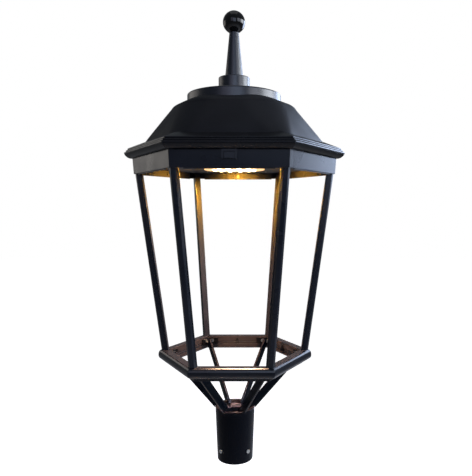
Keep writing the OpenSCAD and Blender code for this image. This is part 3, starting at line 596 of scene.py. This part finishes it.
def rounder(z, r):
    """Half width at which a corner of radius r reaches as far as one of PLAIN_ROUND."""
    return flank(z) + (r - PLAIN_ROUND) * (1 - FLAT)


def bezier(a, b, c, u):
    return (1 - u) ** 2 * a + 2 * u * (1 - u) * b + u * u * c


rings = [
    level(LEDGE_HALF + 0.6, INNER_ROUND, SEAT_Z),
    level(HOOD_FOOT_HALF, FOOT_ROUND, SEAT_Z),
    on_slope(HOOD_FOOT_HALF, FOOT_ROUND, -0.6),
    on_slope(HOOD_FOOT_HALF - 0.5, FOOT_ROUND - 0.4, 0.1),
]
rings += [level(rounder(SEAT_Z + up, r), r, SEAT_Z + up) for up, r in FLANK_ROUND]
shoulder_half = rounder(FLANK_TOP, SHOULDER_ROUND)
for i in range(SHOULDER_STEPS + 1):
    u = i / SHOULDER_STEPS
    half = bezier(shoulder_half, shoulder_half - SHOULDER_IN, CAP_R + 1.6, u)
    r = SHOULDER_ROUND + (CAP_R + 1.5 - SHOULDER_ROUND) * u ** 3
    z = bezier(FLANK_TOP, FLANK_TOP + SHOULDER_UP, CROWN_Z, u)
    rings.append(level(half, r, z, CROWN_RISE * (2 * u - u * u)))
rings += [
    level(CROWN_HALF, CROWN_ROUND, CROWN_Z, CROWN_RISE),
    level(CROWN_HALF, CROWN_ROUND, CAP_Z),
    level(ROD_HOLE, 5, CAP_Z),
    level(ROD_HOLE, 5, CAP_Z - HOOD_WALL),
    level(CROWN_INSIDE_HALF, 30, CAP_Z - HOOD_WALL),
    level(flank(FLANK_TOP) - HOOD_WALL, INNER_ROUND, FLANK_TOP - 1),
    level(flank(SEAT_Z + 12) - HOOD_WALL, INNER_ROUND, SEAT_Z + 12),
    level(LEDGE_HALF + 0.6, INNER_ROUND, SEAT_Z + 8),
]
new_piece("hood_casting", loft(rings), COAT_HOOD, "hood", ["hood_shell"], sharp=40)

# cap plate: flat boss and rim below, rounded edge on top
CAP_WALL = 5
CAP_BOSS = 14
cap_profile = [
    (ROD_HOLE, CAP_Z),
    (CAP_BOSS, CAP_Z),
    (CAP_BOSS, CAP_TOP - CAP_WALL),
    (CAP_R - CAP_WALL, CAP_TOP - CAP_WALL),
    (CAP_R - CAP_WALL, CAP_Z),
    (CAP_R, CAP_Z),
    (CAP_R, CAP_TOP - 3),
    (CAP_R - 0.5, CAP_TOP - 1.5),
    (CAP_R - 1.5, CAP_TOP - 0.5),
    (CAP_R - 3, CAP_TOP),
    (ROD_HOLE, CAP_TOP),
]
new_piece("cap_casting", turned(cap_profile, 0.4, 160), COAT_CAP, "hood", ["cap_disc"])

# drum, stem and ball, all bored for the tie rod
DRUM_R = 33.7
DRUM_TOP = 841.6
STEM_FOOT_R = 19.6
STEM_TOP_R = 10
STEM_TOP = 937.6
BALL_Z = 959.9
BALL_R = 24.0
BALL_STEPS = 48
POLE_R = 0.02  # stands for a point on the axis of what is turned
drum_profile = [(ROD_HOLE, CAP_TOP), (DRUM_R, CAP_TOP, 0.5), (DRUM_R, DRUM_TOP, 2.0), (ROD_HOLE, DRUM_TOP)]
new_piece("drum_turning", turned(drum_profile, 0.2, 112), COAT_CAP, "hood", ["finial_drum"])
stem_profile = [
    (ROD_HOLE, DRUM_TOP),
    (STEM_FOOT_R, DRUM_TOP, 0.6),
    (STEM_TOP_R, STEM_TOP, 0.4),
    (ROD_HOLE, STEM_TOP),
]
new_piece("stem_turning", turned(stem_profile, 0.2, 96), COAT_CAP, "hood", ["finial_stem"])
ball_profile = [(ROD_HOLE, BALL_Z), (ROD_HOLE, STEM_TOP)]
seat_angle = math.asin((STEM_TOP - BALL_Z) / BALL_R)
for i in range(BALL_STEPS + 1):
    t = seat_angle + (math.pi / 2 - seat_angle) * i / BALL_STEPS
    ball_profile.append((max(BALL_R * math.cos(t), POLE_R), BALL_Z + BALL_R * math.sin(t)))
ball_profile.append((POLE_R, BALL_Z))
new_piece("ball_turning", turned(ball_profile, 0.0, 96), GLOSS, "hood", ["finial_ball"], sharp=60,
          weighted=False)

# pieces that keep their CAD shape and only have their edges broken
WELD = 2e-6  # metres
COPLANAR = 1.2  # degrees within which faces become one


def softened(node, material, body, width):
    bm = bmesh.new()
    bm.from_mesh(NODES[node].data)
    bmesh.ops.remove_doubles(bm, verts=bm.verts, dist=WELD)
    bmesh.ops.dissolve_limit(bm, angle_limit=math.radians(COPLANAR), verts=bm.verts, edges=bm.edges)
    new_piece(node + "_soft", bm, material, body, [node], sharp=34.0, bevel=width)


for k in range(1, 7):
    softened("arm_%d" % k, COAT_ARM, "frame", 0.5)
    softened("foot_bracket_%d" % k, COAT_BRACKET, "frame", 0.35)
softened("pane_clips", COAT_BRACKET, "frame", 0.25)
softened("hood_catch", COAT, "hood", 0.3)
softened("catch_keeper", COAT, "frame", 0.3)
softened("hinge_leaf_fixed", COAT, "frame", 0.35)
softened("hinge_leaf_moving", COAT_RIM, "hood", 0.35)
softened("led_driver", PLASTIC, "frame", 0.8)
softened("terminal_block", PLASTIC, "frame", 0.4)
softened("heat_sink", ALLOY, "frame", 0.2)

# lens plate with a rounded edge, and the lit domes on its underside
LENS_R = 66
LENS_LOW = TRAY_Z - 5.0
LENS_TOP = TRAY_Z - 1.6
LENS_POLE_R = 0.05
DOME_R = 5.2
DOME_DEEP = 2.2
DOME_STEPS = 6
DOME_SIDES = 20
DOME_SUNK = 0.3
lens_profile = [
    (LENS_POLE_R, LENS_LOW),
    (LENS_R, LENS_LOW, 1.8),
    (LENS_R, LENS_TOP),
    (LENS_POLE_R, LENS_TOP),
]
new_piece("lens_plate", turned(lens_profile, 0.3, 96), LENS, "frame", ["led_lens_plate"], 50)


def dome(x, y):
    """A dome that hangs from the lens plate, with its edge sunk into it."""
    rings = [circle(DOME_R, LENS_LOW + DOME_SUNK, DOME_SIDES, x, y)]
    for j in range(1, DOME_STEPS + 1):
        t = math.pi / 2 * j / DOME_STEPS
        r = max(DOME_R * math.cos(t), POLE_R)
        rings.append(circle(r, LENS_LOW - DOME_DEEP * math.sin(t), DOME_SIDES, x, y))
    return loft(rings, close=False)


domes = []
for ring_r, count, turn in ((0, 1, 0), (22, 6, 0), (44, 12, 0.5)):
    for i in range(count):
        a = 2 * math.pi * (i + turn) / count
        domes.append(dome(ring_r * math.cos(a), ring_r * math.sin(a)))
new_piece("lens_domes", join(domes), CHIP, "frame", (), 60, weighted=False)

# floor and white surroundings
GLOSSY_SHARE = 0.18  # how much of the surroundings shows in reflections
FLOOR_SHARE = 0.4  # the floor's part of that
FLOOR_GLOW = 0.97
FILL_LIGHT = 0.06  # what the surroundings give as light
FLOOR_HALF = 14.0
FLOOR_Z = -0.9


def visible_share(tree, glossy):
    """1 for what is seen directly or through something clear, glossy for reflections, 0 for the rest."""
    paths = tree.node("LightPath").outputs
    direct = tree.math("MAXIMUM", paths["Is Camera Ray"], paths["Is Transmission Ray"])
    return tree.math("MAXIMUM", direct, tree.math("MULTIPLY", paths["Is Glossy Ray"], glossy))


floor_mesh = bpy.data.meshes.new("floor")
bm = bmesh.new()
bm.faces.new([bm.verts.new((x * FLOOR_HALF, y * FLOOR_HALF, FLOOR_Z))
              for x, y in ((-1, -1), (1, -1), (1, 1), (-1, 1))])
bm.to_mesh(floor_mesh)
bm.free()
floor = bpy.data.objects.new("floor", floor_mesh)
scene.collection.objects.link(floor)
white = Mat("floor_white")
white.put("Base Color", (0.80, 0.80, 0.80))
white.put("Roughness", 0.9)
white.put("Specular IOR Level", 0.0)
white.put("Emission Color", (1, 1, 1))
floor_seen = visible_share(white, GLOSSY_SHARE * FLOOR_SHARE)
white.put("Emission Strength", white.math("MULTIPLY", floor_seen, FLOOR_GLOW))
floor_mesh.materials.append(white.material)

world = bpy.data.worlds.new("studio")
scene.world = world
world.use_nodes = True
sky = NodeTree(world.node_tree)
background = world.node_tree.nodes["Background"]
sky_seen = visible_share(sky, GLOSSY_SHARE)
sky.feed(background.inputs["Strength"], sky.math("MAXIMUM", sky_seen, FILL_LIGHT))
camera_ray = sky.node("LightPath").outputs["Is Camera Ray"]
sky.feed(background.inputs["Color"], sky.mix(camera_ray, (0.82, 0.91, 1.0), (1, 1, 1)))

# lamps, in metres
MIDDLE = (0.0, 0.0, 0.6)
REACH = 2.4  # distance of the soft panels from the lantern's middle


def lamp(name, place, aim, size, power, colour, shape="RECTANGLE", spread=180):
    d = bpy.data.lights.new(name, "AREA")
    d.shape = shape
    d.size, d.size_y = size
    d.energy = power
    d.color = colour
    d.spread = math.radians(spread)
    o = bpy.data.objects.new(name, d)
    scene.collection.objects.link(o)
    o.location = place
    o.rotation_euler = (Vector(aim) - Vector(place)).to_track_quat("-Z", "Y").to_euler()
    o.visible_camera = False


def soft_panel(name, turn, lift, size, radiance, colour):
    """A softbox aimed at the lantern: turn is counted from the right-hand side towards the back."""
    a = math.radians(turn)
    e = math.radians(lift)
    place = (REACH * math.cos(a) * math.cos(e), REACH * math.sin(a) * math.cos(e),
             MIDDLE[2] + REACH * math.sin(e))
    lamp(name, place, MIDDLE, size, radiance * math.pi * size[0] * size[1], colour)


soft_panel("panel_front", -80, 17, (1.1, 1.4), 2.7, (0.62, 0.74, 1.0))
soft_panel("panel_front_left", -105, 22, (1.1, 1.4), 1.2, (0.75, 0.74, 1.0))
soft_panel("panel_front_right", -38, 20, (1.1, 1.2), 4.6, (0.84, 0.88, 1.0))
soft_panel("panel_right", 3, 18, (1.6, 1.0), 13.0, (0.86, 0.92, 1.0))
soft_panel("panel_right_back", 47, 13, (1.2, 1.3), 9.6, (0.62, 0.74, 1.0))
soft_panel("panel_left", 157, 12, (1.6, 1.1), 1.5, (1.0, 0.93, 0.86))
lamp("panel_top", (0, 0, 3.0), MIDDLE, (1.6, 1.6), 4.2, (1.0, 1.0, 1.0))

# the LEDs' own light: downwards, and from a ring of small lamps to the posts and the tray's edge
LED_Z = 0.6398
LED_RING_R = 0.070
LED_AIM_R = 0.2
lamp("led_light", (0, 0, LED_Z), (0, 0, 0), (0.12, 0.12), 4.6, (1.0, 0.60, 0.36), "DISK", 100)
lamp("led_beam", (0, 0, LED_Z - 0.001), (0, 0, 0), (0.08, 0.08), 1.6, (1.0, 0.68, 0.54), "DISK", 24)
for k in range(12):
    a = math.radians(30 * k)
    power, aim_z = (0.4, 0.59) if k % 2 else (1.05, 0.54)  # between two posts, or at a post
    lamp("led_side_%d" % (k + 1), (LED_RING_R * math.cos(a), LED_RING_R * math.sin(a), LED_Z),
         (LED_AIM_R * math.cos(a), LED_AIM_R * math.sin(a), aim_z),
         (0.036, 0.012), power, (1.0, 0.46, 0.05), "RECTANGLE", 72)
